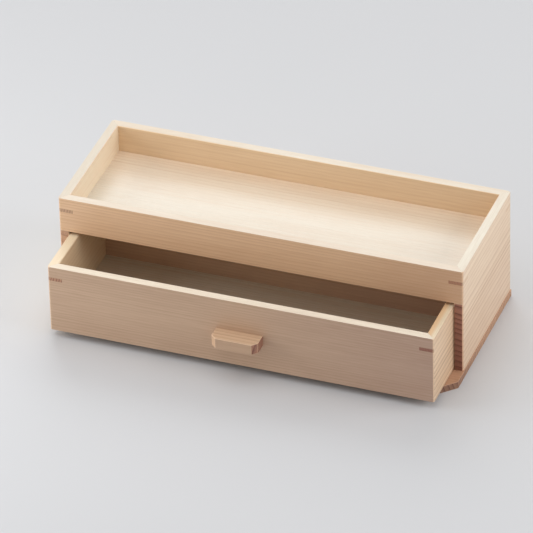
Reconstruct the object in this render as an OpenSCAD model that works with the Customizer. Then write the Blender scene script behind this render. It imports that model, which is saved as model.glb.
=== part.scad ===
// Plain wooden table box: an open tray on top and a drawer below it.
// The origin is the centre of the case's footprint, on the underside of the base board.
// +X is to the right, +Y to the back and +Z up. Sizes are in millimetres.
// The drawer is drawn part way out, as far as drawer_out says.

/* [Case] */
// Width of the case across its side panels
case_w = 270; // [200:5:360]
// Depth of the case from its front face to its back face
case_d = 96; // [80:1:140]
// Height of the rim above the table
case_h = 80; // [72:1:120]
// Thickness of the case's boards
board_t = 6; // [5:0.5:9]

/* [Base board] */
// Thickness of the base board
base_t = 5; // [3:0.5:10]
// How far the base board stands out past each side panel
base_side = 0.5; // [0:0.5:4]
// How far the base board stands out in front of the case
base_front = 22; // [14:1:40]
// Cut of the base board's front corners, along each edge
base_chamfer = 10.5; // [2:0.5:12]

/* [Tray] */
// Depth of the tray from the rim to its floor
tray_depth = 19; // [12:1:30]
// Thickness of the tray's floor board
tray_floor_t = 4; // [3:0.5:6]
// Height of the front rail below the floor board
rail_lip = 1.5; // [1:0.5:4]

/* [Drawer] */
// How far the drawer stands out of the case
drawer_out = 38; // [2:1:45]
// Thickness of the drawer's walls
drawer_wall_t = 6; // [5:0.5:8]
// Thickness of the drawer's bottom board
drawer_bottom_t = 3; // [2.5:0.5:5]
// Height of the drawer's walls below its bottom board
drawer_lip = 2; // [1:0.5:4]

/* [Pull] */
// Width of the pull across the drawer's front
pull_w = 31; // [16:1:60]
// How far the pull stands out of the drawer's front
pull_d = 12; // [8:0.5:20]
// Height of the pull
pull_h = 7.5; // [5:0.5:12]
// Cut of the pull's two front corners, along each edge
pull_chamfer = 3.6; // [1:0.2:6]
// Distance from the drawer's rim down to the top of the pull
pull_drop = 22; // [8:1:26]

/* [Corner keys] */
// Length that a key shows on each of the two faces at its corner
key_leg = 9.6; // [5:0.2:9.8]
// Thickness of a key
key_t = 2.4; // [1:0.2:3]
// Distance from the rim down to the middle of a key
key_drop = 9; // [4:0.5:10]

/* [Fits] */
// Depth of the grooves that hold the tray floor and the drawer bottom
groove_d = 2; // [1:0.5:3]
// Room left for a board to swell at each edge in its groove
panel_play = 0.3; // [0.1:0.1:0.8]
// Gap between the drawer and each side panel
side_gap = 0.5; // [0.3:0.1:1.5]
// Gap between the drawer and the base board
run_gap = 0.3; // [0.3:0.1:1]
// Gap between the drawer's rim and the front rail
top_gap = 2.2; // [0.5:0.1:3]
// Gap between the closed drawer and the back panel
back_gap = 1; // [0.5:0.5:5]

/* [Hidden] */

// The case's heights
wall_h = case_h - base_t;
tray_floor_top = case_h - tray_depth;
tray_floor_low = tray_floor_top - tray_floor_t;
rail_low = tray_floor_low - rail_lip;
rail_h = case_h - rail_low;

// The drawer fills the space under the rail, less its gaps
drawer_w = case_w - 2 * board_t - 2 * side_gap;
drawer_d = case_d - board_t - back_gap;
drawer_low = base_t + run_gap;
drawer_h = rail_low - top_gap - drawer_low;
drawer_rim = drawer_low + drawer_h;
drawer_front_y = -case_d / 2 - drawer_out;
drawer_mid_y = drawer_front_y + drawer_d / 2;

// Sides of a rectangular frame, counted anticlockwise from the front
FRONT = 0;
RIGHT = 1;
BACK = 2;
LEFT = 3;

// Corners of a frame, each at the right-hand end of the side with the same number
FRONT_RIGHT = 0;
BACK_RIGHT = 1;
BACK_LEFT = 2;
FRONT_LEFT = 3;

// How far a cut runs past the face that it opens
over = 1;

// Finishes of the planed boards and of their end grain
SAPWOOD = [0.93, 0.83, 0.66];
HEARTWOOD = [0.84, 0.68, 0.48];
END_GRAIN = [0.56, 0.36, 0.26];

// Puts a child that is drawn facing forwards at y = 0 on one side of a frame
module on_side(side, frame_w, frame_d) {
    reach = (side % 2 == 0 ? frame_d : frame_w) / 2;
    rotate(90 * side) translate([0, -reach, 0]) children();
}

// Puts a child that is drawn for the front right corner on one corner of a frame
module at_corner(corner, frame_w, frame_d) {
    half = (corner % 2 == 0 ? [frame_w, frame_d] : [frame_d, frame_w]) / 2;
    rotate(90 * corner) translate([half[0], -half[1], 0]) children();
}

// Board with mitred ends: its outer face lies along X at y = 0, and its inner face is behind it
module mitred_board(length, thick, height) {
    half = length / 2;
    linear_extrude(height)
        polygon([[-half, 0], [half, 0], [half - thick, thick], [thick - half, thick]]);
}

// Groove along a board's inner face, from end to end
module groove(length, thick, height) {
    translate([-length / 2, thick - groove_d, 0])
        cube([length, groove_d + over, height]);
}

// Key let in flat across a mitred corner; grow makes the cut that holds it run out of both faces
module key_blank(grow = 0) {
    translate([0, 0, -key_t / 2]) linear_extrude(key_t)
        polygon([[grow, -grow], [-key_leg - grow, -grow], [grow, key_leg + grow]]);
}

// The four cuts for the keys of a frame whose rim is at rim_z
module key_cuts(frame_w, frame_d, rim_z) {
    for (corner = [FRONT_RIGHT : FRONT_LEFT])
        at_corner(corner, frame_w, frame_d)
            translate([0, 0, rim_z - key_drop]) key_blank(over);
}

// Bottom board of a frame: it reaches into the grooves, less the room to swell
module grooved_panel(frame_w, frame_d, wall_t, thick) {
    inset = wall_t - groove_d + panel_play;
    panel_w = frame_w - 2 * inset;
    panel_d = frame_d - 2 * inset;
    translate([-panel_w / 2, -panel_d / 2, 0]) cube([panel_w, panel_d, thick]);
}

// Case

module base_board() {
    right = case_w / 2 + base_side;
    back = case_d / 2;
    front = -case_d / 2 - base_front;
    color(SAPWOOD) linear_extrude(base_t)
        polygon([
            [-right, back], [-right, front + base_chamfer], [base_chamfer - right, front],
            [right - base_chamfer, front], [right, front + base_chamfer], [right, back]
        ]);
}

// Fills the mitre of a side panel's front end below the rail, where that end is square
module square_end(side) {
    outer = case_w / 2;
    mirror([side == LEFT ? 1 : 0, 0, 0])
        translate([outer - board_t, -case_d / 2, base_t])
            cube([board_t, board_t, rail_low - base_t]);
}

module side_panel(side) {
    difference() {
        union() {
            on_side(side, case_w, case_d)
                translate([0, 0, base_t]) mitred_board(case_d, board_t, wall_h);
            square_end(side);
        }
        on_side(side, case_w, case_d)
            translate([0, 0, tray_floor_low]) groove(case_d, board_t, tray_floor_t);
        key_cuts(case_w, case_d, case_h);
    }
}

module left_side_panel() {
    color(SAPWOOD) side_panel(LEFT);
}

module right_side_panel() {
    color(SAPWOOD) side_panel(RIGHT);
}

module back_panel() {
    color(HEARTWOOD) difference() {
        on_side(BACK, case_w, case_d)
            translate([0, 0, base_t]) mitred_board(case_w, board_t, wall_h);
        on_side(BACK, case_w, case_d)
            translate([0, 0, tray_floor_low]) groove(case_w, board_t, tray_floor_t);
        key_cuts(case_w, case_d, case_h);
    }
}

module front_rail() {
    color(HEARTWOOD) difference() {
        on_side(FRONT, case_w, case_d)
            translate([0, 0, rail_low]) mitred_board(case_w, board_t, rail_h);
        on_side(FRONT, case_w, case_d)
            translate([0, 0, tray_floor_low]) groove(case_w, board_t, tray_floor_t);
        key_cuts(case_w, case_d, case_h);
    }
}

module tray_floor() {
    color(SAPWOOD) translate([0, 0, tray_floor_low])
        grooved_panel(case_w, case_d, board_t, tray_floor_t);
}

module case_key(corner) {
    color(END_GRAIN) at_corner(corner, case_w, case_d)
        translate([0, 0, case_h - key_drop]) key_blank();
}

// Drawer

module drawer_wall(side) {
    length = side % 2 == 0 ? drawer_w : drawer_d;
    translate([0, drawer_mid_y, 0]) difference() {
        on_side(side, drawer_w, drawer_d)
            translate([0, 0, drawer_low]) mitred_board(length, drawer_wall_t, drawer_h);
        on_side(side, drawer_w, drawer_d)
            translate([0, 0, drawer_low + drawer_lip])
                groove(length, drawer_wall_t, drawer_bottom_t);
        key_cuts(drawer_w, drawer_d, drawer_rim);
    }
}

module drawer_front() {
    color(HEARTWOOD) drawer_wall(FRONT);
}

module drawer_back() {
    color(HEARTWOOD) drawer_wall(BACK);
}

module drawer_left_side() {
    color(SAPWOOD) drawer_wall(LEFT);
}

module drawer_right_side() {
    color(SAPWOOD) drawer_wall(RIGHT);
}

module drawer_bottom() {
    color(SAPWOOD) translate([0, drawer_mid_y, drawer_low + drawer_lip])
        grooved_panel(drawer_w, drawer_d, drawer_wall_t, drawer_bottom_t);
}

module drawer_pull() {
    half = pull_w / 2;
    color(SAPWOOD) translate([0, drawer_front_y, drawer_rim - pull_drop - pull_h])
        linear_extrude(pull_h)
            polygon([
                [-half, 0], [-half, pull_chamfer - pull_d], [pull_chamfer - half, -pull_d],
                [half - pull_chamfer, -pull_d], [half, pull_chamfer - pull_d], [half, 0]
            ]);
}

module drawer_key(corner) {
    color(END_GRAIN) translate([0, drawer_mid_y, drawer_rim - key_drop])
        at_corner(corner, drawer_w, drawer_d) key_blank();
}

base_board();
left_side_panel();
right_side_panel();
back_panel();
front_rail();
tray_floor();
case_key(FRONT_LEFT);  // case_key_front_left
case_key(FRONT_RIGHT);  // case_key_front_right
case_key(BACK_LEFT);  // case_key_back_left
case_key(BACK_RIGHT);  // case_key_back_right
drawer_front();
drawer_back();
drawer_left_side();
drawer_right_side();
drawer_bottom();
drawer_pull();
drawer_key(FRONT_LEFT);  // drawer_key_front_left
drawer_key(FRONT_RIGHT);  // drawer_key_front_right
drawer_key(BACK_LEFT);  // drawer_key_back_left
drawer_key(BACK_RIGHT);  // drawer_key_back_right
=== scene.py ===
"""Looks of a plain wooden table box, which has an open tray on top and a drawer below it."""
import logging
import math
from collections.abc import Sequence
from dataclasses import dataclass, field, replace
from enum import Enum

import bmesh
import bpy
from mathutils import Matrix, Vector


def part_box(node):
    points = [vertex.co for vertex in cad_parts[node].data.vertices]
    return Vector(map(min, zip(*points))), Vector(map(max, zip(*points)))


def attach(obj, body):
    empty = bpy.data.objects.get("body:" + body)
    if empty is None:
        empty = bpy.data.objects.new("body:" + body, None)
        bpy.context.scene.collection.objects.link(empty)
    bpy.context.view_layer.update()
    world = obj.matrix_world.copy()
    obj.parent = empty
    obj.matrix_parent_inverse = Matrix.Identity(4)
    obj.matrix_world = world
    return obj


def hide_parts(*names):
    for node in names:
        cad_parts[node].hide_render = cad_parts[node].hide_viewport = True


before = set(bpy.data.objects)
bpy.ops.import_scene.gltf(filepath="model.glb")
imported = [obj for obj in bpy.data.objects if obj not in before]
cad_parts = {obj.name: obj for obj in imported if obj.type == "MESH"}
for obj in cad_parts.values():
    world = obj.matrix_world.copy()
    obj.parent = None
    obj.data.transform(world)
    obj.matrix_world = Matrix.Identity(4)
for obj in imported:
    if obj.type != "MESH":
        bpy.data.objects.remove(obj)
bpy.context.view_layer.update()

MM = 0.001
QUARTER_TURN = math.pi / 2
STEPS_IN_EIGHTH_TURN = 4
EASING_STEPS = 4
SMOOTH_BELOW = math.radians(28)
CUT_BEYOND = 1.0 * MM
LONGEST_ARC_STEP = 0.9 * MM
SAME_PLACE = 0.0001 * MM
ON_FRONT = 0.01 * MM

Point = tuple[float, float]
Ramp = tuple[Point, Point]
Colour = tuple[float, float, float]
Input = float | Colour | Vector | bpy.types.NodeSocket
Inputs = dict[str | int, Input]

log = logging.getLogger("table_box")


class Side(Enum):
    """Sides of a rectangular frame, as quarter turns anticlockwise from the front."""

    FRONT = 0
    RIGHT = 1
    BACK = 2
    LEFT = 3


class Corner(Enum):
    """Corners of a frame, each at the right-hand end of the side with the same number."""

    FRONT_RIGHT = 0
    BACK_RIGHT = 1
    BACK_LEFT = 2
    FRONT_LEFT = 3


class Grain(Enum):
    """Ways the grain runs, as degrees anticlockwise from X in plan."""

    ALONG_X = 0
    ALONG_Y = 90
    RISING = 45
    FALLING = -45


@dataclass(frozen=True)
class Cut:
    """How one board was sawn from its log.

    Args:
        grain: The way its grain runs.
        pith: Where the log's centre lies, across the grain and up from the board's middle, in mm.
        ring_width: Distance from one growth ring to the next, in mm.
        wander: How far the rings stray from true circles, in mm.
        heart: Radius at which the heartwood gives way to the sapwood, in mm, or 0 if the board has none.
        glare_hides_rings_before: Painted highlight: place across the board, from its middle, before which
            the rings hardly show, as the sheen washes them out, in mm.
    """

    grain: Grain
    pith: Point
    ring_width: float
    wander: float = 3.0
    heart: float = 0.0
    glare_hides_rings_before: float | None = None


@dataclass(frozen=True)
class Wood:
    """Finish of one kind of planed wood.

    Args:
        name: The finish's name.
        early: Colour of the pale early wood.
        late: Colour of the darker late wood.
        end_pale: Palest colour of the end grain.
        end_dark: Darkest colour of the end grain.
        arris: Colour of the eased edges, partly wear and partly a painted highlight.
        ring_contrast: How strongly the late wood shows, from 0 to 1.
        roughness: Mean roughness of the planed faces.
        heart: Colour of the heartwood, if any board of this wood has some; on the tray floor it also paints
            warm light reflected from the back wall.
        rim: Painted highlight: the colour of the upper faces, washed out as they look in bright light, if it
            differs.
        rim_contrast: How strongly the late wood shows under that painted highlight, as a share of
            ring_contrast.
        shaded_left_rim: Painted shade: colour of the left half of an upper face, if it differs.
        shaded_left_arris: Painted shade: colour of the eased edges that look left, if it differs.
        left_painted_light: Painted light: a paler colour for the faces that look left, if any.
        right_painted_light: Painted light: a paler colour for the faces that look right, if any.
        right_end_painted_shade: Painted shade: the darker colour that the pale wood takes towards the
            right-hand end, where less light falls, if any.
        far_from: Place along the board, from its middle, where that painted shade begins, in mm.
        far_full: Place along the board where that painted shade is complete, in mm.
    """

    name: str
    early: Colour
    late: Colour
    end_pale: Colour
    end_dark: Colour
    arris: Colour
    ring_contrast: float
    roughness: float
    heart: Colour | None = None
    rim: Colour | None = None
    rim_contrast: float = 0.3
    shaded_left_rim: Colour | None = None
    shaded_left_arris: Colour | None = None
    left_painted_light: Colour | None = None
    right_painted_light: Colour | None = None
    right_end_painted_shade: Colour | None = None
    far_from: float = 0.0
    far_full: float = 130.0

    def dress(self, piece: bpy.types.Object, cut: Cut) -> None:
        """Gives a piece this finish, with the grain of its own cut.

        Args:
            piece: The piece to dress.
            cut: How the piece was sawn.
        """
        material = WoodShader(self, cut, piece).material
        piece.data.materials.clear()
        piece.data.materials.append(material)
        for item in piece.material_slots:
            item.material = material


class NodeCanvas:
    """A node tree, with one short method for each kind of node that is used here."""

    def __init__(self, owner: bpy.types.Material | bpy.types.World) -> None:
        """Starts an empty node tree.

        Args:
            owner: The material or the world that the tree belongs to.
        """
        owner.use_nodes = True
        self.tree = owner.node_tree
        self.tree.nodes.clear()

    def feed(self, socket: bpy.types.NodeSocket, value: Input) -> None:
        """Links a socket to another one, or sets its number or colour.

        Args:
            socket: The socket that takes the value.
            value: The output to link, or the plain value.
        """
        if isinstance(value, bpy.types.NodeSocket):
            self.tree.links.new(value, socket)
        elif socket.type == "RGBA":
            socket.default_value = (*value, 1.0)
        else:
            socket.default_value = value

    def add(self, kind: str, inputs: Inputs | None = None, **settings: str | bool) -> bpy.types.Node:
        """Adds a node.

        Args:
            kind: The node's type, without the ShaderNode in front.
            inputs: What goes into its sockets.
            settings: The node's own settings.

        Returns:
            The new node.
        """
        node = self.tree.nodes.new("ShaderNode" + kind)
        for key, value in settings.items():
            setattr(node, key, value)
        for key, value in (inputs or {}).items():
            self.feed(node.inputs[key], value)
        return node

    def output_surface(self, inputs: Inputs) -> None:
        """Ends the tree in a surface with these inputs."""
        surface = self.add("BsdfPrincipled", inputs)
        self.add("OutputMaterial", {"Surface": surface.outputs["BSDF"]})

    def maths(self, operation: str, *values: Input, clamp: bool = False) -> bpy.types.NodeSocket:
        """Works out a number from others, and can keep it between 0 and 1."""
        inputs = dict(enumerate(values))
        return self.add("Math", inputs, operation=operation, use_clamp=clamp).outputs["Value"]

    def vector_maths(self, operation: str, first: Input, second: Input) -> bpy.types.NodeSocket:
        """Works out a vector from two others."""
        return self.add("VectorMath", {0: first, 1: second}, operation=operation).outputs["Vector"]

    def length(self, vector: bpy.types.NodeSocket) -> bpy.types.NodeSocket:
        """Works out the length of a vector."""
        return self.add("VectorMath", {0: vector}, operation="LENGTH").outputs["Value"]

    def parts(self, vector: bpy.types.NodeSocket) -> bpy.types.NodeOutputs:
        """Splits a vector into the sockets X, Y and Z."""
        return self.add("SeparateXYZ", {"Vector": vector}).outputs

    def noise(self, place: bpy.types.NodeSocket, per_metre: Point, detail: float) -> bpy.types.NodeSocket:
        """Makes smooth noise that is drawn out along the grain.

        Args:
            place: Position in the wood's own directions, the grain along X.
            per_metre: How many features lie in a metre along the grain and across it.
            detail: Number of finer layers.

        Returns:
            The noise, which is around 0.5.
        """
        along, across = per_metre
        drawn_out = self.vector_maths("MULTIPLY", place, Vector((along, across, across)))
        inputs = {"Vector": drawn_out, "Scale": 1.0, "Detail": detail}
        return self.add("TexNoise", inputs, noise_dimensions="3D").outputs["Fac"]

    def line_noise(self, value: bpy.types.NodeSocket, per_unit: float) -> bpy.types.NodeSocket:
        """Makes smooth noise around 0.5 along one number, with so many features in a unit of it."""
        inputs = {"W": value, "Scale": per_unit, "Detail": 1.0}
        return self.add("TexNoise", inputs, noise_dimensions="1D").outputs["Fac"]

    def chance(self, value: bpy.types.NodeSocket) -> bpy.types.NodeSocket:
        """Picks a fixed number between 0 and 1 for each whole number that comes in."""
        return self.add("TexWhiteNoise", {"W": value}, noise_dimensions="1D").outputs["Value"]

    def spread(self, value: Input, start: Point, end: Point, smooth: bool = False) -> bpy.types.NodeSocket:
        """Maps a number from one range to another and keeps it inside the new one.

        Args:
            value: The number.
            start: The value that comes in at the low end, and what it becomes.
            end: The value that comes in at the high end, and what it becomes.
            smooth: Whether both ends are eased.

        Returns:
            The mapped number's socket.
        """
        kind = "SMOOTHSTEP" if smooth else "LINEAR"
        inputs = {
            "Value": value, "From Min": start[0], "To Min": start[1], "From Max": end[0], "To Max": end[1],
        }
        return self.add("MapRange", inputs, interpolation_type=kind, clamp=True).outputs["Result"]

    def curve(self, value: bpy.types.NodeSocket, points: Sequence[Point]) -> bpy.types.NodeSocket:
        """Maps a number between 0 and 1 by straight lines through some points.

        Args:
            value: The number.
            points: Pairs of what comes in and what goes out.

        Returns:
            The mapped number's socket.
        """
        node = self.add("ValToRGB", {"Fac": value})
        stops = node.color_ramp.elements
        while len(stops) < len(points):
            stops.new(0.5)
        for stop, (position, level) in zip(stops, points):
            stop.position = position
            stop.color = (level, level, level, 1.0)
        return node.outputs["Color"]

    def blend(self, share: Input, first: Input, second: Input, kind: str = "MIX") -> bpy.types.NodeSocket:
        """Blends two colours.

        Args:
            share: How much of the second colour there is, from 0 to 1.
            first: The first colour.
            second: The second colour.
            kind: The Mix node's blend type.

        Returns:
            The blended colour's socket.
        """
        node = self.add("Mix", data_type="RGBA", blend_type=kind, clamp_factor=True)
        ports = {port.identifier: port for port in node.inputs}
        self.feed(ports["Factor_Float"], share)
        self.feed(ports["A_Color"], first)
        self.feed(ports["B_Color"], second)
        return next(port for port in node.outputs if port.identifier == "Result_Color")


class WoodShader(NodeCanvas):
    """The material of one board: growth rings, fibres, end grain and eased edges, with some painted light
    and shade.

    The pairs from WANDERING to SPECKS say how many features lie in a metre along the grain and across it.
    A ramp gives the value that comes in and what it becomes, at its low end and at its high end.
    """

    RING_PROFILE = ((0.0, 0.55), (0.07, 0.0), (0.4, 0.08), (0.72, 0.45), (0.93, 1.0), (1.0, 0.55))
    RING_UNEVENNESS = 0.8
    RING_CHANGES = 0.31
    GOOD_YEARS = 0.11

    WANDERING = (3.0, 14.0)
    PATCHES = (9.0, 38.0)
    STREAKS = (7.0, 520.0)
    FIBRES = (70.0, 2400.0)
    SPECKS = (900.0, 1500.0)

    ONE_RING: Ramp = ((0.0, 0.45), (1.0, 1.0))
    SOME_YEARS: Ramp = ((0.3, 0.35), (0.65, 1.0))
    ACROSS_GRAIN: Ramp = ((0.3, 0.0), (0.72, 1.0))
    FACING_UP: Ramp = ((0.5, 0.0), (0.95, 1.0))
    FACING_SIDEWAYS: Ramp = ((0.5, 0.0), (0.68, 0.85))
    EASED: Ramp = ((0.78, 1.0), (0.97, 0.0))
    EASED_LEFT: Ramp = ((0.15, 0.0), (0.4, 1.0))
    NOT_AT_45_DEGREES: Ramp = ((0.01, 0.0), (0.04, 1.0))
    LEFT_HALF: Ramp = ((-1.5 * MM, 0.0), (1.0 * MM, 1.0))
    PATCH_SHARE: Ramp = ((0.35, 0.0), (0.7, 0.22))
    STREAK_SHARE: Ramp = ((0.45, 0.0), (0.75, 0.2))
    FIBRE_SHARE: Ramp = ((0.35, 0.0), (0.75, 0.16))
    SPECK_SHARE: Ramp = ((0.35, 0.0), (0.7, 0.35))

    HEART_SHARE = 0.8
    HEART_BAND = 35.0 * MM
    GLARE_RING_SHARE = 0.25
    GLARE_BAND = 7.0 * MM
    END_HEART_SHARE = 0.75
    # Share of the eased-edge colour: partly wear, partly a painted highlight.
    WEAR_AND_HIGHLIGHT = 0.8
    SMOOTHER, ROUGHER = 0.05, 0.07
    END_ROUGHER = 0.25
    FIBRE_RELIEF = 0.5
    STREAK_RELIEF = 0.35
    LATE_RELIEF = -0.3
    BUMP_STRENGTH = 0.3
    BUMP_HEIGHT = 0.05 * MM

    def __init__(self, wood: Wood, cut: Cut, piece: bpy.types.Object) -> None:
        """Builds the whole node tree.

        Args:
            wood: The finish.
            cut: How the board was sawn.
            piece: The board, whose middle the grain is laid out from.
        """
        self.material = bpy.data.materials.new(f"{wood.name}_{piece.name}")
        super().__init__(self.material)
        self.wood = wood
        self.cut = cut
        here = self.add("TexCoord").outputs
        self.place = self.turned(self.vector_maths("SUBTRACT", here["Object"], middle_of(piece)))
        self.normal = here["Normal"]
        self.facing = self.parts(self.normal)
        self.radius = self.ring_radius()
        self.late, self.late_shown = self.rings()
        self.heart = self.heart_mask()
        self.fibre = self.noise(self.place, self.FIBRES, 2.0)
        self.streak = self.noise(self.place, self.STREAKS, 2.0)
        self.end = self.end_mask()
        self.finish_surface()

    def turned(self, vector: bpy.types.NodeSocket) -> bpy.types.NodeSocket:
        """Turns a vector of the frame so that the grain runs along X."""
        inputs = {"Vector": vector, "Angle": -math.radians(self.cut.grain.value)}
        return self.add("VectorRotate", inputs, rotation_type="Z_AXIS").outputs["Vector"]

    def ring_radius(self) -> bpy.types.NodeSocket:
        """Works out the distance from the pith, as the straying rings count it.

        Returns:
            The distance's socket, in metres.
        """
        across, up = self.cut.pith
        from_pith = self.vector_maths("SUBTRACT", self.place, Vector((0.0, across * MM, up * MM)))
        flat = self.vector_maths("MULTIPLY", from_pith, Vector((0.0, 1.0, 1.0)))
        stray = self.maths("SUBTRACT", self.noise(self.place, self.WANDERING, 2.0), 0.5)
        return self.maths("MULTIPLY_ADD", stray, self.cut.wander * MM, self.length(flat))

    def rings(self) -> tuple[bpy.types.NodeSocket, bpy.types.NodeSocket]:
        """Lays out the growth rings.

        Returns:
            The late wood from 0 to 1, and how much of its colour shows.
        """
        count = self.maths("DIVIDE", self.radius, self.cut.ring_width * MM)
        change = self.line_noise(count, self.RING_CHANGES)
        uneven = self.maths("MULTIPLY_ADD", change, self.RING_UNEVENNESS, count)
        late = self.curve(self.maths("FRACT", uneven), self.RING_PROFILE)
        one_ring = self.spread(self.chance(self.maths("FLOOR", uneven)), *self.ONE_RING)
        some_years = self.spread(self.line_noise(count, self.GOOD_YEARS), *self.SOME_YEARS, smooth=True)
        strength = self.maths("MULTIPLY", one_ring, some_years)
        # Painted highlight: the rings fade towards the front of the board, where the sheen washes them out.
        if self.cut.glare_hides_rings_before is not None:
            edge = self.cut.glare_hides_rings_before * MM
            start, end = (edge - self.GLARE_BAND, self.GLARE_RING_SHARE), (edge + self.GLARE_BAND, 1.0)
            glare_fade = self.spread(self.parts(self.place)["Y"], start, end, smooth=True)
            strength = self.maths("MULTIPLY", strength, glare_fade)
        return late, self.maths("MULTIPLY", late, strength)

    def heart_mask(self) -> Input:
        """Finds the heartwood.

        Returns:
            How much of its colour shows, as a socket, or 0 for a board without any.
        """
        if not self.cut.heart:
            return 0.0
        edge = self.cut.heart * MM
        start, end = (edge - self.HEART_BAND, self.HEART_SHARE), (edge + self.HEART_BAND, 0.0)
        return self.spread(self.radius, start, end, smooth=True)

    def end_mask(self) -> bpy.types.NodeSocket:
        """Finds the faces that cut across the grain: 1 on end grain and 0 on long grain."""
        along = self.parts(self.turned(self.normal))["X"]
        return self.spread(self.maths("ABSOLUTE", along), *self.ACROSS_GRAIN, smooth=True)

    def lit_rim_mask(self) -> bpy.types.NodeSocket:
        """Finds the upper faces that take the painted highlight: 1 on faces that look straight up and 0 on
        upright ones.
        """
        return self.spread(self.facing["Z"], *self.FACING_UP, smooth=True)

    def arris_mask(self) -> bpy.types.NodeSocket:
        """Finds the eased edges, and tells them from the flat faces of a corner that is cut off.

        Returns:
            1 in the middle of an eased edge and 0 on flat faces.
        """
        across, along, up = [self.maths("ABSOLUTE", self.facing[axis]) for axis in "XYZ"]
        widest = self.maths("MAXIMUM", self.maths("MAXIMUM", across, along), up)
        eased = self.spread(widest, *self.EASED, smooth=True)
        off = self.maths("ABSOLUTE", self.maths("SUBTRACT", across, along))
        not_cut_off = self.spread(self.maths("MAXIMUM", off, up), *self.NOT_AT_45_DEGREES)
        return self.maths("MULTIPLY", eased, not_cut_off)

    def long_grain(self) -> bpy.types.NodeSocket:
        """Colours the faces that run with the grain.

        Returns:
            The colour's socket.
        """
        wood = self.wood
        pale: Input = wood.early
        contrast: Input = wood.ring_contrast
        if wood.heart:
            pale = self.blend(self.heart, pale, wood.heart)
        # Painted shade: the pale wood darkens towards the right-hand end, where less light falls.
        if wood.right_end_painted_shade:
            start, end = (wood.far_from * MM, 0.0), (wood.far_full * MM, 1.0)
            pale = self.blend(self.spread(self.parts(self.place)["X"], start, end), pale, wood.right_end_painted_shade)
        # Painted highlight: faces that look up take the washed-out rim colour, and their rings fade.
        if wood.rim:
            upwards = self.lit_rim_mask()
            pale = self.blend(upwards, pale, self.lit_rim_colour())
            contrast = self.spread(upwards, (0.0, contrast), (1.0, contrast * wood.rim_contrast))
        colour = self.blend(self.maths("MULTIPLY", self.late_shown, contrast), pale, wood.late)
        patch = self.spread(self.noise(self.place, self.PATCHES, 3.0), *self.PATCH_SHARE)
        colour = self.blend(patch, colour, wood.late)
        colour = self.blend(self.spread(self.streak, *self.STREAK_SHARE), colour, wood.late)
        return self.blend(self.spread(self.fibre, *self.FIBRE_SHARE), colour, wood.late, "MULTIPLY")

    def lit_rim_colour(self) -> Input:
        """Colours the upper faces with their painted highlight, and with painted shade on the left half
        where there is some.

        Returns:
            The plain colour, or its socket.
        """
        if not self.wood.shaded_left_rim:
            return self.wood.rim
        # Painted shade on the left half of the upper face.
        share = self.spread(self.parts(self.place)["Y"], *self.LEFT_HALF, smooth=True)
        return self.blend(share, self.wood.rim, self.wood.shaded_left_rim)

    def end_grain(self) -> bpy.types.NodeSocket:
        """Colours the faces that are cut across the grain.

        Returns:
            The colour's socket.
        """
        wood = self.wood
        speck = self.spread(self.noise(self.place, self.SPECKS, 2.0), *self.SPECK_SHARE)
        dark = self.maths("MULTIPLY_ADD", self.late, wood.ring_contrast, speck, clamp=True)
        heart = self.maths("MULTIPLY", self.heart, self.END_HEART_SHARE)
        return self.blend(dark, self.blend(heart, wood.end_pale, wood.end_dark), wood.end_dark)

    def surface_height(self) -> bpy.types.NodeSocket:
        """Gives the raised early wood, the fibres and the faint marks of the plane.

        Returns:
            The height from 0 to about 1.
        """
        height = self.maths("MULTIPLY", self.fibre, self.FIBRE_RELIEF)
        height = self.maths("MULTIPLY_ADD", self.streak, self.STREAK_RELIEF, height)
        return self.maths("MULTIPLY_ADD", self.late, self.LATE_RELIEF, height)

    def wear_and_highlight_edge(self) -> Input:
        """Colours the eased edges: partly wear and partly a painted highlight, and painted shade on those
        that look left where there is some.

        Returns:
            The plain colour, or its socket.
        """
        if not self.wood.shaded_left_arris:
            return self.wood.arris
        # Painted shade on the eased edges that look left.
        leftwards = self.maths("MULTIPLY", self.facing["X"], -1.0)
        share = self.spread(leftwards, *self.EASED_LEFT, smooth=True)
        return self.blend(share, self.wood.arris, self.wood.shaded_left_arris)

    def finish_surface(self) -> None:
        """Joins the colours, the roughness and the bump in the surface shader."""
        colour = self.blend(self.end, self.long_grain(), self.end_grain())
        # Painted light: faces that look left or right blend to a paler colour, as lit faces do.
        for tone, outwards in ((self.wood.left_painted_light, -1.0), (self.wood.right_painted_light, 1.0)):
            if tone:
                sideways = self.maths("MULTIPLY", self.facing["X"], outwards)
                colour = self.blend(self.spread(sideways, *self.FACING_SIDEWAYS, smooth=True), colour, tone)
        # Eased edges: partly wear, partly a painted highlight.
        wear_and_highlight = self.maths("MULTIPLY", self.arris_mask(), self.WEAR_AND_HIGHLIGHT)
        mean = self.wood.roughness
        rough = self.spread(self.fibre, (0.3, mean - self.SMOOTHER), (0.7, mean + self.ROUGHER))
        bump = {
            "Strength": self.BUMP_STRENGTH, "Distance": self.BUMP_HEIGHT, "Height": self.surface_height(),
        }
        self.output_surface({
            "Base Color": self.blend(wear_and_highlight, colour, self.wear_and_highlight_edge()),
            "Roughness": self.maths("MULTIPLY_ADD", self.end, self.END_ROUGHER, rough),
            "Normal": self.add("Bump", bump).outputs["Normal"],
        })


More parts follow.
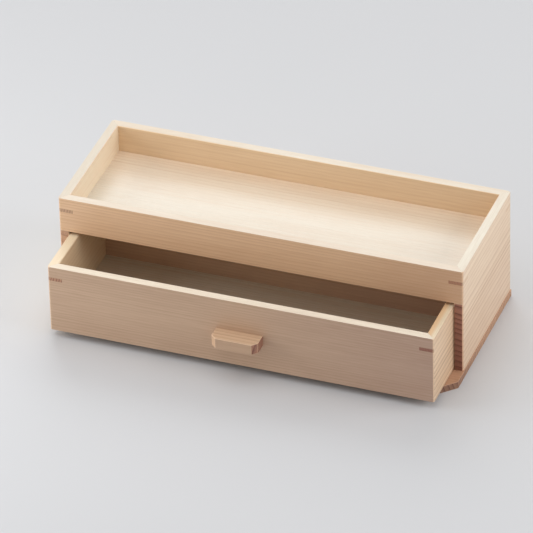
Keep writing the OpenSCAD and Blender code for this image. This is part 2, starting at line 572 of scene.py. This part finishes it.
SIDE_WOOD = Wood(
    name="pale_side_wood",
    early=(0.88, 0.7, 0.515),
    late=(0.5, 0.29, 0.16),
    heart=(0.74, 0.55, 0.4),
    # Painted highlight: washed-out colour of the upper faces.
    rim=(0.81, 0.745, 0.615),
    end_pale=(0.49, 0.226, 0.151),
    end_dark=(0.16, 0.055, 0.035),
    arris=(0.9, 0.58, 0.38),
    ring_contrast=0.95,
    roughness=0.4,
)
LEFT_WOOD = replace(
    SIDE_WOOD,
    name="clear_side_wood",
    early=(0.9, 0.78, 0.6),
    late=(0.78, 0.6, 0.42),
    # Painted highlight: washed-out colour of the upper faces.
    rim=(0.69, 0.615, 0.5),
    end_pale=(0.62, 0.38, 0.24),
    end_dark=(0.26, 0.11, 0.07),
    ring_contrast=0.4,
)
RAIL_WOOD = Wood(
    name="golden_rail_wood",
    early=(0.89, 0.607, 0.38),
    late=(0.6, 0.33, 0.165),
    # Painted highlight: washed-out colour of the upper faces.
    rim=(0.8, 0.725, 0.6),
    end_pale=(0.4, 0.18, 0.12),
    end_dark=(0.16, 0.055, 0.035),
    arris=(0.95, 0.68, 0.42),
    ring_contrast=0.6,
    roughness=0.4,
    # Painted shade towards the right-hand end.
    right_end_painted_shade=(0.72, 0.47, 0.305),
    far_from=55.0,
)
BACK_WOOD = replace(
    RAIL_WOOD,
    name="light_back_wood",
    early=(0.88, 0.68, 0.455),
    late=(0.6, 0.38, 0.2),
    ring_contrast=0.75,
    right_end_painted_shade=None,
)
FRONT_WOOD = Wood(
    name="warm_front_wood",
    early=(0.675, 0.473, 0.324),
    late=(0.42, 0.245, 0.15),
    # Painted highlight: washed-out colour of the upper faces.
    rim=(0.9, 0.81, 0.655),
    end_pale=(0.4, 0.18, 0.12),
    end_dark=(0.16, 0.055, 0.035),
    arris=(0.93, 0.67, 0.45),
    ring_contrast=0.6,
    roughness=0.42,
    # Painted shade towards the right-hand end.
    right_end_painted_shade=(0.575, 0.39, 0.295),
)
DRAWER_SIDE_WOOD = replace(
    SIDE_WOOD,
    name="lined_drawer_wood",
    early=(0.84, 0.63, 0.43),
    late=(0.37, 0.19, 0.095),
    # Painted highlight: washed-out colour of the upper faces.
    rim=(0.9, 0.77, 0.56),
    arris=(0.95, 0.76, 0.54),
    ring_contrast=1.0,
    # Painted shade: the left, inner edge of this rim and its eased edge are a deeper gold.
    shaded_left_arris=(0.86, 0.54, 0.28),
    shaded_left_rim=(0.84, 0.58, 0.33),
)
# Painted light: a paler copy of the drawer side's wood, as the inner face looks lit.
LIT_INNER_DRAWER_WOOD = replace(
    DRAWER_SIDE_WOOD,
    name="lit_inner_drawer_wood",
    early=(0.9, 0.71, 0.48),
    late=(0.7, 0.48, 0.28),
    ring_contrast=0.6,
    shaded_left_arris=None,
    shaded_left_rim=None,
)
TRAY_WOOD = Wood(
    name="polished_tray_wood",
    early=(0.77, 0.72, 0.61),
    late=(0.62, 0.43, 0.27),
    # Heartwood colour, which on the tray floor also paints the warm light reflected from the back wall.
    heart=(0.97, 0.77, 0.575),
    end_pale=(0.4, 0.22, 0.14),
    end_dark=(0.2, 0.09, 0.05),
    arris=(0.8, 0.64, 0.46),
    ring_contrast=0.42,
    roughness=0.28,
)
BASE_WOOD = Wood(
    name="plain_base_wood",
    early=(0.6, 0.36, 0.23),
    late=(0.42, 0.22, 0.13),
    heart=(0.59, 0.35, 0.22),
    end_pale=(0.64, 0.38, 0.23),
    end_dark=(0.13, 0.05, 0.035),
    arris=(0.56, 0.34, 0.22),
    ring_contrast=0.75,
    roughness=0.42,
)
PULL_WOOD = Wood(
    name="golden_pull_wood",
    early=(0.66, 0.45, 0.3),
    late=(0.46, 0.27, 0.16),
    # Painted highlight: washed-out colour of the upper faces.
    rim=(0.72, 0.51, 0.34),
    end_pale=(0.46, 0.235, 0.155),
    end_dark=(0.2, 0.08, 0.055),
    arris=(0.95, 0.68, 0.45),
    ring_contrast=0.8,
    roughness=0.36,
    # Painted light on the pull's faces that look left.
    left_painted_light=(0.74, 0.49, 0.3),
    rim_contrast=0.9,
)
STRIPED_KEY_WOOD = Wood(
    name="striped_key_wood",
    early=(0.48, 0.27, 0.17),
    late=(0.22, 0.1, 0.06),
    end_pale=(0.57, 0.32, 0.2),
    end_dark=(0.26, 0.11, 0.075),
    arris=(0.5, 0.27, 0.17),
    ring_contrast=0.8,
    roughness=0.5,
    # Painted light on the key's faces that look left and right.
    left_painted_light=(0.77, 0.59, 0.42),
    right_painted_light=(0.77, 0.59, 0.42),
)
RED_KEY_WOOD = replace(
    STRIPED_KEY_WOOD,
    name="red_key_wood",
    end_pale=(0.36, 0.165, 0.115),
    end_dark=(0.2, 0.07, 0.05),
    ring_contrast=0.15,
)
PALE_KEY_WOOD = replace(
    STRIPED_KEY_WOOD,
    name="pale_key_wood",
    end_pale=(0.5, 0.25, 0.15),
    end_dark=(0.32, 0.14, 0.09),
    arris=(0.56, 0.32, 0.2),
    ring_contrast=0.3,
)
FAINT_KEY_WOOD = replace(
    STRIPED_KEY_WOOD,
    name="faint_key_wood",
    end_pale=(0.65, 0.42, 0.27),
    end_dark=(0.44, 0.26, 0.16),
    arris=(0.65, 0.42, 0.27),
    ring_contrast=1.0,
)


def middle_of(piece: bpy.types.Object) -> Vector:
    """Finds the middle of a piece's box, for an object that sits at the origin."""
    corners = [Vector(corner) for corner in piece.bound_box]
    return (corners[0] + corners[6]) / 2


def arc(middle: Point, radius: float, start: float, end: float) -> list[Point]:
    """Draws an arc in plan.

    Args:
        middle: The circle's centre.
        radius: The circle's radius.
        start: The first angle in degrees, anticlockwise from X.
        end: The last angle in degrees.

    Returns:
        The points along the arc.
    """
    steps = max(1, round(STEPS_IN_EIGHTH_TURN * abs(end - start) / 45))
    angles = [math.radians(start + (end - start) * step / steps) for step in range(steps + 1)]
    return [(middle[0] + radius * math.cos(a), middle[1] + radius * math.sin(a)) for a in angles]


def mirrored(points: Sequence[Point]) -> list[Point]:
    """Mirrors a run of points from right to left, and keeps them anticlockwise."""
    return [(-x, y) for x, y in reversed(points)]


def prism(outline: Sequence[Point], low: float, high: float) -> bmesh.types.BMesh:
    """Raises a plan outline into a solid.

    Args:
        outline: The outline's points, anticlockwise from above.
        low: Height of the underside.
        high: Height of the top.

    Returns:
        The solid's editable mesh.
    """
    solid = bmesh.new()
    below = [solid.verts.new((x, y, low)) for x, y in outline]
    above = [solid.verts.new((x, y, high)) for x, y in outline]
    solid.faces.new(list(reversed(below)))
    solid.faces.new(above)
    for here in range(len(outline)):
        after = (here + 1) % len(outline)
        solid.faces.new((below[here], below[after], above[after], above[here]))
    return solid


def chamfered_block(node: str) -> bmesh.types.BMesh:
    """Builds a block whose two front corners are cut off at 45 degrees.

    Args:
        node: The node that gives the block's size and the width of the cut.

    Returns:
        The block's editable mesh.
    """
    low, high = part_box(node)
    front = max(v.co.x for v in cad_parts[node].data.vertices if v.co.y < low.y + ON_FRONT)
    right = [(front, low.y), (high.x, low.y + high.x - front), (high.x, high.y)]
    return prism([*mirrored(right), *right], low.z, high.z)


def is_mitre(edge: bmesh.types.BMEdge) -> bool:
    """Tells whether an edge runs along a mitre, which is long and aslant in plan."""
    run = edge.verts[1].co - edge.verts[0].co
    return min(abs(run.x), abs(run.y)) > LONGEST_ARC_STEP


def ease(solid: bmesh.types.BMesh, edges: Sequence[bmesh.types.BMEdge], radius: float) -> None:
    """Rounds some edges of a solid, as fine sandpaper does.

    Args:
        solid: The solid.
        edges: The edges to round.
        radius: The radius of the rounding.
    """
    bmesh.ops.bevel(
        solid, geom=list(edges), offset=radius, offset_type="OFFSET", segments=EASING_STEPS,
        profile=0.5, affect="EDGES", clamp_overlap=False, miter_outer="SHARP",
    )


def edges_at(solid: bmesh.types.BMesh, height: float) -> list[bmesh.types.BMEdge]:
    """Finds the edges whose two ends are at one height."""
    return [e for e in solid.edges if all(abs(v.co.z - height) < SAME_PLACE for v in e.verts)]


def make_piece(name: str, solid: bmesh.types.BMesh, move: Matrix = Matrix()) -> bpy.types.Object:
    """Makes an object at the origin from an editable mesh.

    Args:
        name: The object's name.
        solid: The editable mesh, which is used up.
        move: Where the mesh goes.

    Returns:
        The new object.
    """
    solid.transform(move)
    bmesh.ops.recalc_face_normals(solid, faces=solid.faces)
    data = bpy.data.meshes.new(name)
    solid.to_mesh(data)
    solid.free()
    piece = bpy.data.objects.new(name, data)
    bpy.context.scene.collection.objects.link(piece)
    return piece


def carve(piece: bpy.types.Object, cutters: Sequence[bpy.types.Object]) -> None:
    """Cuts other solids out of a piece, and removes them.

    Args:
        piece: The piece to cut.
        cutters: The solids that are taken away.
    """
    for cutter in cutters:
        cut = piece.modifiers.new("cut", "BOOLEAN")
        cut.operation = "DIFFERENCE"
        cut.solver = "EXACT"
        cut.object = cutter
    depsgraph = bpy.context.evaluated_depsgraph_get()
    data = bpy.data.meshes.new_from_object(piece.evaluated_get(depsgraph))
    piece.modifiers.clear()
    piece.data = data
    for cutter in cutters:
        bpy.data.objects.remove(cutter)


def shade(piece: bpy.types.Object) -> None:
    """Shades the eased edges smoothly and keeps the broad faces flat.

    Args:
        piece: The piece to shade.
    """
    piece.data.polygons.foreach_set("use_smooth", [True] * len(piece.data.polygons))
    piece.data.set_sharp_from_angle(angle=SMOOTH_BELOW)
    flatten = piece.modifiers.new("flat_faces", "WEIGHTED_NORMAL")
    flatten.keep_sharp = True
    flatten.weight = 100


@dataclass
class MitredFrame:
    """Four boards that meet in keyed mitres.

    Args:
        body: The body that the frame rides on.
        board_of: The node of the board on each side.
        key_of: The node of the key at each corner.
        panel: The node of the panel that the boards hold in their grooves.
        board_slot: The slot name that each board is added with.
        corner_radius: Radius of the upright corners.
        inner_radius: Radius of the upright inner edge of a square end.
        rim_easing: Radius of the rim's edges.
        under_easing: Radius of the lower edges that show.
        joint_line: How far each board stays back from its mitre, for the hairline that shows there.
        panel_play: Room between the panel's edge and the bottom of its groove.
    """

    body: str
    board_of: dict[Side, str]
    key_of: dict[Corner, str]
    panel: str
    board_slot: str
    corner_radius: float = 1.4 * MM
    inner_radius: float = 0.6 * MM
    rim_easing: float = 0.5 * MM
    under_easing: float = 0.35 * MM
    joint_line: float = 0.02 * MM
    panel_play: float = 0.3 * MM
    pieces: list[bpy.types.Object] = field(default_factory=list)

    KEY_PITH = (-60.0, 12.0)
    KEY_PITH_STEP = -7.0
    KEY_RING_WIDTH = 1.25
    KEY_WANDER = 0.8

    def __post_init__(self) -> None:
        """Reads the frame's sizes from its nodes."""
        low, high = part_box(self.board_of[Side.RIGHT])
        left_low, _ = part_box(self.board_of[Side.LEFT])
        self.thick = high.x - low.x
        self.width = high.x - left_low.x
        self.depth = high.y - low.y
        self.middle = Vector(((high.x + left_low.x) / 2, (low.y + high.y) / 2, 0.0))
        self.rim = high.z
        key_low, key_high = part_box(self.key_of[Corner.FRONT_RIGHT])
        self.key_leg = key_high.x - key_low.x
        self.key_low, self.key_high = key_low.z, key_high.z
        self.panel_low, self.panel_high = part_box(self.panel)
        self.groove_depth = self.panel_high.x - (high.x - self.thick) + self.panel_play

    def span(self, side: Side) -> float:
        """Gives the length of the board on one side."""
        return self.width if side in (Side.FRONT, Side.BACK) else self.depth

    def reach(self, side: Side) -> float:
        """Gives the distance from the frame's middle to the outside of one side."""
        return (self.depth if side in (Side.FRONT, Side.BACK) else self.width) / 2

    def seat(self, side: Side) -> Matrix:
        """Gives the move that takes a board drawn facing forwards at y = 0 to its side."""
        turn = Matrix.Rotation(side.value * QUARTER_TURN, 4, "Z")
        return Matrix.Translation(self.middle) @ turn @ Matrix.Translation((0.0, -self.reach(side), 0.0))

    def corner_seat(self, corner: Corner) -> Matrix:
        """Gives the move that takes a key drawn for the front right corner to its corner.

        Args:
            corner: The key's corner.

        Returns:
            The move.
        """
        turned = corner.value % 2 == 1
        half = (self.depth / 2, self.width / 2) if turned else (self.width / 2, self.depth / 2)
        turn = Matrix.Rotation(corner.value * QUARTER_TURN, 4, "Z")
        return Matrix.Translation(self.middle) @ turn @ Matrix.Translation((half[0], -half[1], 0.0))

    def mitred_end(self, length: float) -> list[Point]:
        """Draws the right-hand end of a board that is cut to a mitre.

        Args:
            length: The board's length over its outer face.

        Returns:
            The points from the outer face to the inner one.
        """
        half = length / 2 - self.joint_line
        rounding = arc((half - self.corner_radius, self.corner_radius), self.corner_radius, -90, -45)
        return [*rounding, (half - self.thick, self.thick)]

    def square_end(self, length: float) -> list[Point]:
        """Draws the right-hand end of a board that is cut square.

        Args:
            length: The board's length over its outer face.

        Returns:
            The points from the outer face to the inner one.
        """
        half = length / 2
        outer, inner = self.corner_radius, self.inner_radius
        return [
            *arc((half - outer, outer), outer, -90, 0),
            *arc((half - inner, self.thick - inner), inner, 0, 90),
        ]

    def outline(self, side: Side) -> list[Point]:
        """Draws the plan of one board anticlockwise, with its outer face along X at y = 0."""
        end = self.mitred_end(self.span(side))
        return [*mirrored(end), *end]

    def groove_cutter(self, side: Side) -> bpy.types.Object:
        """Makes the solid that cuts a board's groove for the panel.

        Args:
            side: The board's side.

        Returns:
            The cutter.
        """
        half = self.span(side) / 2
        near, far = self.thick - self.groove_depth, self.thick + CUT_BEYOND
        plan = [(-half, near), (half, near), (half, far), (-half, far)]
        return make_piece("groove", prism(plan, self.panel_low.z, self.panel_high.z), self.seat(side))

    def key_cutter(self, corner: Corner) -> bpy.types.Object:
        """Makes the solid that cuts the slot for a key.

        Args:
            corner: The key's corner.

        Returns:
            The cutter.
        """
        leg, beyond = self.key_leg + CUT_BEYOND, CUT_BEYOND
        plan = [(beyond, -beyond), (beyond, leg), (-leg, -beyond)]
        return make_piece("slot", prism(plan, self.key_low, self.key_high), self.corner_seat(corner))

    def corners_of(self, side: Side) -> tuple[Corner, Corner]:
        """Gives the two corners that a side's board reaches."""
        return Corner(side.value), Corner((side.value - 1) % len(Corner))

    def extra_cutters(self, side: Side) -> list[bpy.types.Object]:
        """Gives the cutters that only some frames need, which are none here."""
        return []

    def build_board(self, side: Side) -> bpy.types.Object:
        """Builds one board with its mitres, easing, groove and key slots.

        Args:
            side: The board's side.

        Returns:
            The board.
        """
        node = self.board_of[side]
        low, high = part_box(node)
        solid = prism(self.outline(side), low.z, high.z)
        rim = [edge for edge in edges_at(solid, high.z) if not is_mitre(edge)]
        ease(solid, rim, self.rim_easing)
        under = [edge for edge in edges_at(solid, low.z) if not is_mitre(edge)]
        ease(solid, under, self.under_easing)
        board = make_piece(node + "_board", solid, self.seat(side))
        slots = [self.key_cutter(corner) for corner in self.corners_of(side)]
        carve(board, [self.groove_cutter(side), *slots, *self.extra_cutters(side)])
        self.add(board, node, self.board_slot)
        return board

    def build_key(self, corner: Corner) -> bpy.types.Object:
        """Builds the key at one corner.

        Args:
            corner: The key's corner.

        Returns:
            The key.
        """
        node = self.key_of[corner]
        rounding = arc((-self.corner_radius, self.corner_radius), self.corner_radius, -90, 0)
        plan = [*rounding, (0.0, self.key_leg), (-self.key_leg, 0.0)]
        key = make_piece(node + "_slip", prism(plan, self.key_low, self.key_high), self.corner_seat(corner))
        self.add(key, node, "key_end_grain")
        return key

    def add(self, piece: bpy.types.Object, node: str, slot: str) -> None:
        """Puts a finished piece in the place of its node.

        Args:
            piece: The piece.
            node: The node that it stands for.
            slot: Not used.
        """
        shade(piece)
        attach(piece, self.body)
        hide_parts(node)
        self.pieces.append(piece)
        log.info("%s stands for %s on %s", piece.name, node, self.body)

    def dress_panel(self, finish: Wood, cut: Cut) -> None:
        """Finishes the panel that the boards hold, which keeps its own solid."""
        finish.dress(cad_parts[self.panel], cut)
        log.info("%s keeps its solid on %s", self.panel, self.body)

    def build_keys(self, front_left: Wood, front_right: Wood) -> None:
        """Builds and dresses the four keys.

        Args:
            front_left: Finish of the key at the front left corner.
            front_right: Finish of the key at the front right corner.
        """
        woods = {Corner.FRONT_LEFT: front_left, Corner.FRONT_RIGHT: front_right}
        for corner in Corner:
            grain = Grain.RISING if corner in (Corner.FRONT_RIGHT, Corner.BACK_LEFT) else Grain.FALLING
            across, up = self.KEY_PITH
            pith = (across + self.KEY_PITH_STEP * corner.value, up)
            cut = Cut(grain, pith, self.KEY_RING_WIDTH, wander=self.KEY_WANDER)
            woods.get(corner, PALE_KEY_WOOD).dress(self.build_key(corner), cut)


@dataclass
class Case(MitredFrame):
    """The fixed part: side panels, back panel, front rail, tray floor and base board.

    Args:
        base: The node of the base board.
        base_easing: Radius of the base board's edges.
    """

    base: str = "base_board"
    base_easing: float = 0.25 * MM

    def outline(self, side: Side) -> list[Point]:
        """Draws the plan of one board; a side panel's front end is square.

        Args:
            side: The board's side.

        Returns:
            The outline's points, anticlockwise.
        """
        length = self.span(side)
        mitred = self.mitred_end(length)
        if side is Side.RIGHT:
            return [*mirrored(self.square_end(length)), *mitred]
        if side is Side.LEFT:
            return [*mirrored(mitred), *self.square_end(length)]
        return super().outline(side)

    def extra_cutters(self, side: Side) -> list[bpy.types.Object]:
        """Makes the cutter for the mitre that a side panel has above the drawer's opening.

        Args:
            side: The board's side.

        Returns:
            The cutter, or nothing for the front rail and the back panel.
        """
        if side in (Side.FRONT, Side.BACK):
            return []
        rail_low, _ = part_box(self.board_of[Side.FRONT])
        half = self.span(side) / 2 - self.joint_line
        far = self.thick + CUT_BEYOND
        right = [(half + CUT_BEYOND, -CUT_BEYOND), (half + CUT_BEYOND, far), (half - far, far)]
        plan = right if side is Side.LEFT else mirrored(right)
        return [make_piece("mitre", prism(plan, rail_low.z, self.rim + CUT_BEYOND), self.seat(side))]

    def build_base(self) -> bpy.types.Object:
        """Builds the base board, whose two front corners are cut off.

        Returns:
            The base board.
        """
        solid = chamfered_block(self.base)
        ease(solid, solid.edges[:], self.base_easing)
        board = make_piece(self.base + "_plank", solid)
        self.add(board, self.base, "base_wood")
        return board

    def build(self) -> None:
        """Builds and dresses the case's pieces."""
        cuts = {
            Side.FRONT: (RAIL_WOOD, Cut(Grain.ALONG_X, (-18.0, -190.0), 2.3)),
            Side.RIGHT: (SIDE_WOOD, Cut(Grain.ALONG_Y, (24.0, -170.0), 4.0, heart=165.0)),
            Side.BACK: (BACK_WOOD, Cut(Grain.ALONG_X, (15.0, 160.0), 2.7)),
            Side.LEFT: (LEFT_WOOD, Cut(Grain.ALONG_Y, (-30.0, 185.0), 5.0)),
        }
        for side, (wood, cut) in cuts.items():
            wood.dress(self.build_board(side), cut)
        self.build_keys(FAINT_KEY_WOOD, PALE_KEY_WOOD)
        BASE_WOOD.dress(self.build_base(), Cut(Grain.ALONG_X, (-210.0, -40.0), 2.4, heart=190.0))
        # Painted light on the tray floor: its rings fade at the front under the painted highlight, and its
        # heartwood band at the back also paints warm light reflected from the back wall.
        self.dress_panel(TRAY_WOOD, Cut(Grain.ALONG_X, (240.0, 60.0), 3.1, heart=224.0, glare_hides_rings_before=18.0))


@dataclass
class Drawer(MitredFrame):
    """The sliding part: four walls, a bottom and a pull.

    Args:
        rim_easing: Radius of the rim's edges.
        pull: The node of the pull.
        pull_easing: Radius of the pull's edges.
    """

    rim_easing: float = 0.8 * MM
    pull: str = "drawer_pull"
    pull_easing: float = 0.35 * MM

    def build_pull(self) -> bpy.types.Object:
        """Builds the pull, whose two front corners are cut off.

        Returns:
            The pull.
        """
        _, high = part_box(self.pull)
        solid = chamfered_block(self.pull)
        free = [e for e in solid.edges if any(abs(v.co.y - high.y) > SAME_PLACE for v in e.verts)]
        ease(solid, free, self.pull_easing)
        pull = make_piece(self.pull + "_grip", solid)
        self.add(pull, self.pull, "pull_wood")
        return pull

    def build(self) -> None:
        """Builds and dresses the drawer's pieces."""
        cuts = {
            Side.FRONT: (FRONT_WOOD, Cut(Grain.ALONG_X, (12.0, -230.0), 2.0)),
            Side.RIGHT: (DRAWER_SIDE_WOOD, Cut(Grain.ALONG_Y, (-20.0, 150.0), 4.2)),
            Side.BACK: (FRONT_WOOD, Cut(Grain.ALONG_X, (-25.0, 140.0), 2.4)),
            Side.LEFT: (LIT_INNER_DRAWER_WOOD, Cut(Grain.ALONG_Y, (22.0, -140.0), 3.6)),
        }
        for side, (wood, cut) in cuts.items():
            wood.dress(self.build_board(side), cut)
        self.build_keys(STRIPED_KEY_WOOD, RED_KEY_WOOD)
        PULL_WOOD.dress(self.build_pull(), Cut(Grain.ALONG_X, (40.0, -12.0), 2.8, wander=1.0))
        self.dress_panel(TRAY_WOOD, Cut(Grain.ALONG_X, (-200.0, 30.0), 2.6))


@dataclass(frozen=True)
class SoftBox:
    """A large plain lamp that faces the object.

    Args:
        name: The lamp's name.
        azimuth: Direction from the object in plan, in degrees anticlockwise from straight ahead of it.
        elevation: Direction above the horizon, in degrees.
        distance: Distance from the object, in metres.
        width: Width of the lamp, in metres.
        height: Height of the lamp, in metres.
        power: The lamp's power, in watts.
    """

    name: str
    azimuth: float
    elevation: float
    distance: float
    width: float
    height: float
    power: float

    def place(self) -> None:
        """Hangs the lamp up and aims it."""
        data = bpy.data.lights.new(self.name, "AREA")
        data.shape = "RECTANGLE"
        data.size, data.size_y = self.width, self.height
        data.energy = self.power
        lamp = bpy.data.objects.new(self.name, data)
        away = direction(self.azimuth, self.elevation)
        lamp.location = Studio.AIM + away * self.distance
        lamp.rotation_euler = away.to_track_quat("Z", "Y").to_euler()
        lamp.visible_camera = False
        bpy.context.scene.collection.objects.link(lamp)


def direction(azimuth: float, elevation: float) -> Vector:
    """Gives the unit vector from the object towards an azimuth and an elevation in degrees."""
    turn, rise = math.radians(azimuth), math.radians(elevation)
    return Vector((math.sin(turn) * math.cos(rise), -math.cos(turn) * math.cos(rise), math.sin(rise)))


@dataclass
class Studio:
    """The floor, the lamps, the background and the camera.

    Args:
        camera_azimuth: Direction of the camera in plan, in degrees anticlockwise from straight ahead.
        camera_elevation: Direction of the camera above the horizon, in degrees.
        camera_roll: Turn of the camera about its own axis, in degrees.
        camera_distance: Distance from the point that is aimed at, in metres.
        camera_right: Shift of the camera to its right.
        camera_up: Shift of the camera upwards.
        lens: Focal length of the lens, in millimetres.
        sensor: Width of the sensor, in millimetres.
        clip: Distances between which the camera sees, in metres.
        floor_size: Length of the floor's sides, in metres.
        floor_colour: Colour of the floor.
        floor_roughness: Roughness of the floor.
        floor_shine: Specular level of the floor.
        backdrop: Colour of the background, as the camera and the shiny faces see it.
        ambient: Strength of the even light from all round.
    """

    AIM = Vector((0.0, -8.0 * MM, 40.0 * MM))
    LAMPS = (
        SoftBox("sky_box", azimuth=200.8, elevation=41.0, distance=2.2, width=1.5, height=1.4, power=15.5),
        SoftBox("top_box", azimuth=-30.0, elevation=78.0, distance=1.6, width=1.8, height=1.6, power=10.0),
        SoftBox("right_box", azimuth=95.0, elevation=24.0, distance=1.5, width=1.3, height=0.8, power=10.8),
        SoftBox("left_box", azimuth=-68.0, elevation=16.0, distance=0.65, width=0.5, height=0.35, power=1.8),
    )

    camera_azimuth: float = 20.766
    camera_elevation: float = 34.297
    camera_roll: float = -1.503
    camera_distance: float = 3.7928
    camera_right: float = -9.62 * MM
    camera_up: float = -7.95 * MM
    lens: float = 403.16
    sensor: float = 36.0
    clip: Point = (0.1, 50.0)
    floor_size: float = 6.0
    floor_colour: Colour = (0.64, 0.645, 0.66)
    floor_roughness: float = 0.6
    floor_shine: float = 0.2
    backdrop: Colour = (0.72, 0.73, 0.75)
    ambient: float = 0.33

    def build_floor(self) -> None:
        """Lays the plain pale floor."""
        plane = bmesh.new()
        half = self.floor_size / 2
        corners = [(-half, -half), (half, -half), (half, half), (-half, half)]
        plane.faces.new([plane.verts.new((x, y, 0.0)) for x, y in corners])
        floor = make_piece("floor", plane)
        material = bpy.data.materials.new("pale_floor")
        NodeCanvas(material).output_surface({
            "Base Color": self.floor_colour,
            "Roughness": self.floor_roughness,
            "Specular IOR Level": self.floor_shine,
        })
        floor.data.materials.append(material)

    def light(self) -> None:
        """Sets the background and hangs the lamps."""
        world = bpy.data.worlds.new("studio")
        bpy.context.scene.world = world
        canvas = NodeCanvas(world)
        rays = canvas.add("LightPath").outputs
        seen = canvas.maths("MAXIMUM", rays["Is Camera Ray"], rays["Is Glossy Ray"])
        seen = canvas.maths("MAXIMUM", seen, rays["Is Transmission Ray"])
        even = canvas.add("Background", {"Color": (1.0, 1.0, 1.0), "Strength": self.ambient})
        shown = canvas.add("Background", {"Color": self.backdrop})
        either = {"Fac": seen, 1: even.outputs["Background"], 2: shown.outputs["Background"]}
        canvas.add("OutputWorld", {"Surface": canvas.add("MixShader", either).outputs["Shader"]})
        for lamp in self.LAMPS:
            lamp.place()

    def aim_camera(self) -> None:
        """Sets up the camera at the photograph's place."""
        data = bpy.data.cameras.new("camera")
        data.sensor_width = self.sensor
        data.lens = self.lens
        data.clip_start, data.clip_end = self.clip
        camera = bpy.data.objects.new("camera", data)
        back = direction(self.camera_azimuth, self.camera_elevation)
        right = direction(self.camera_azimuth + 90.0, 0.0)
        up = back.cross(right)
        place = self.AIM + back * self.camera_distance + right * self.camera_right + up * self.camera_up
        turn = Matrix((right, up, back)).transposed().to_4x4()
        roll = Matrix.Rotation(math.radians(self.camera_roll), 4, "Z")
        camera.matrix_world = Matrix.Translation(place) @ turn @ roll
        bpy.context.scene.collection.objects.link(camera)
        bpy.context.scene.camera = camera

    def build(self) -> None:
        """Builds the whole studio."""
        self.build_floor()
        self.light()
        self.aim_camera()
        bpy.context.scene.view_settings.view_transform = "Standard"


def main() -> None:
    """Builds the box and the studio round it."""
    logging.basicConfig(level=logging.INFO, format="%(message)s")
    case = Case(
        body="case",
        board_of=dict(zip(Side, ("front_rail", "right_side_panel", "back_panel", "left_side_panel"))),
        key_of={corner: f"case_key_{corner.name.lower()}" for corner in Corner},
        panel="tray_floor",
        board_slot="case_wood",
    )
    case.build()
    drawer = Drawer(
        body="drawer",
        board_of=dict(zip(Side, ("drawer_front", "drawer_right_side", "drawer_back", "drawer_left_side"))),
        key_of={corner: f"drawer_key_{corner.name.lower()}" for corner in Corner},
        panel="drawer_bottom",
        board_slot="drawer_wood",
    )
    drawer.build()
    Studio().build()


if __name__ == "__main__":
    main()
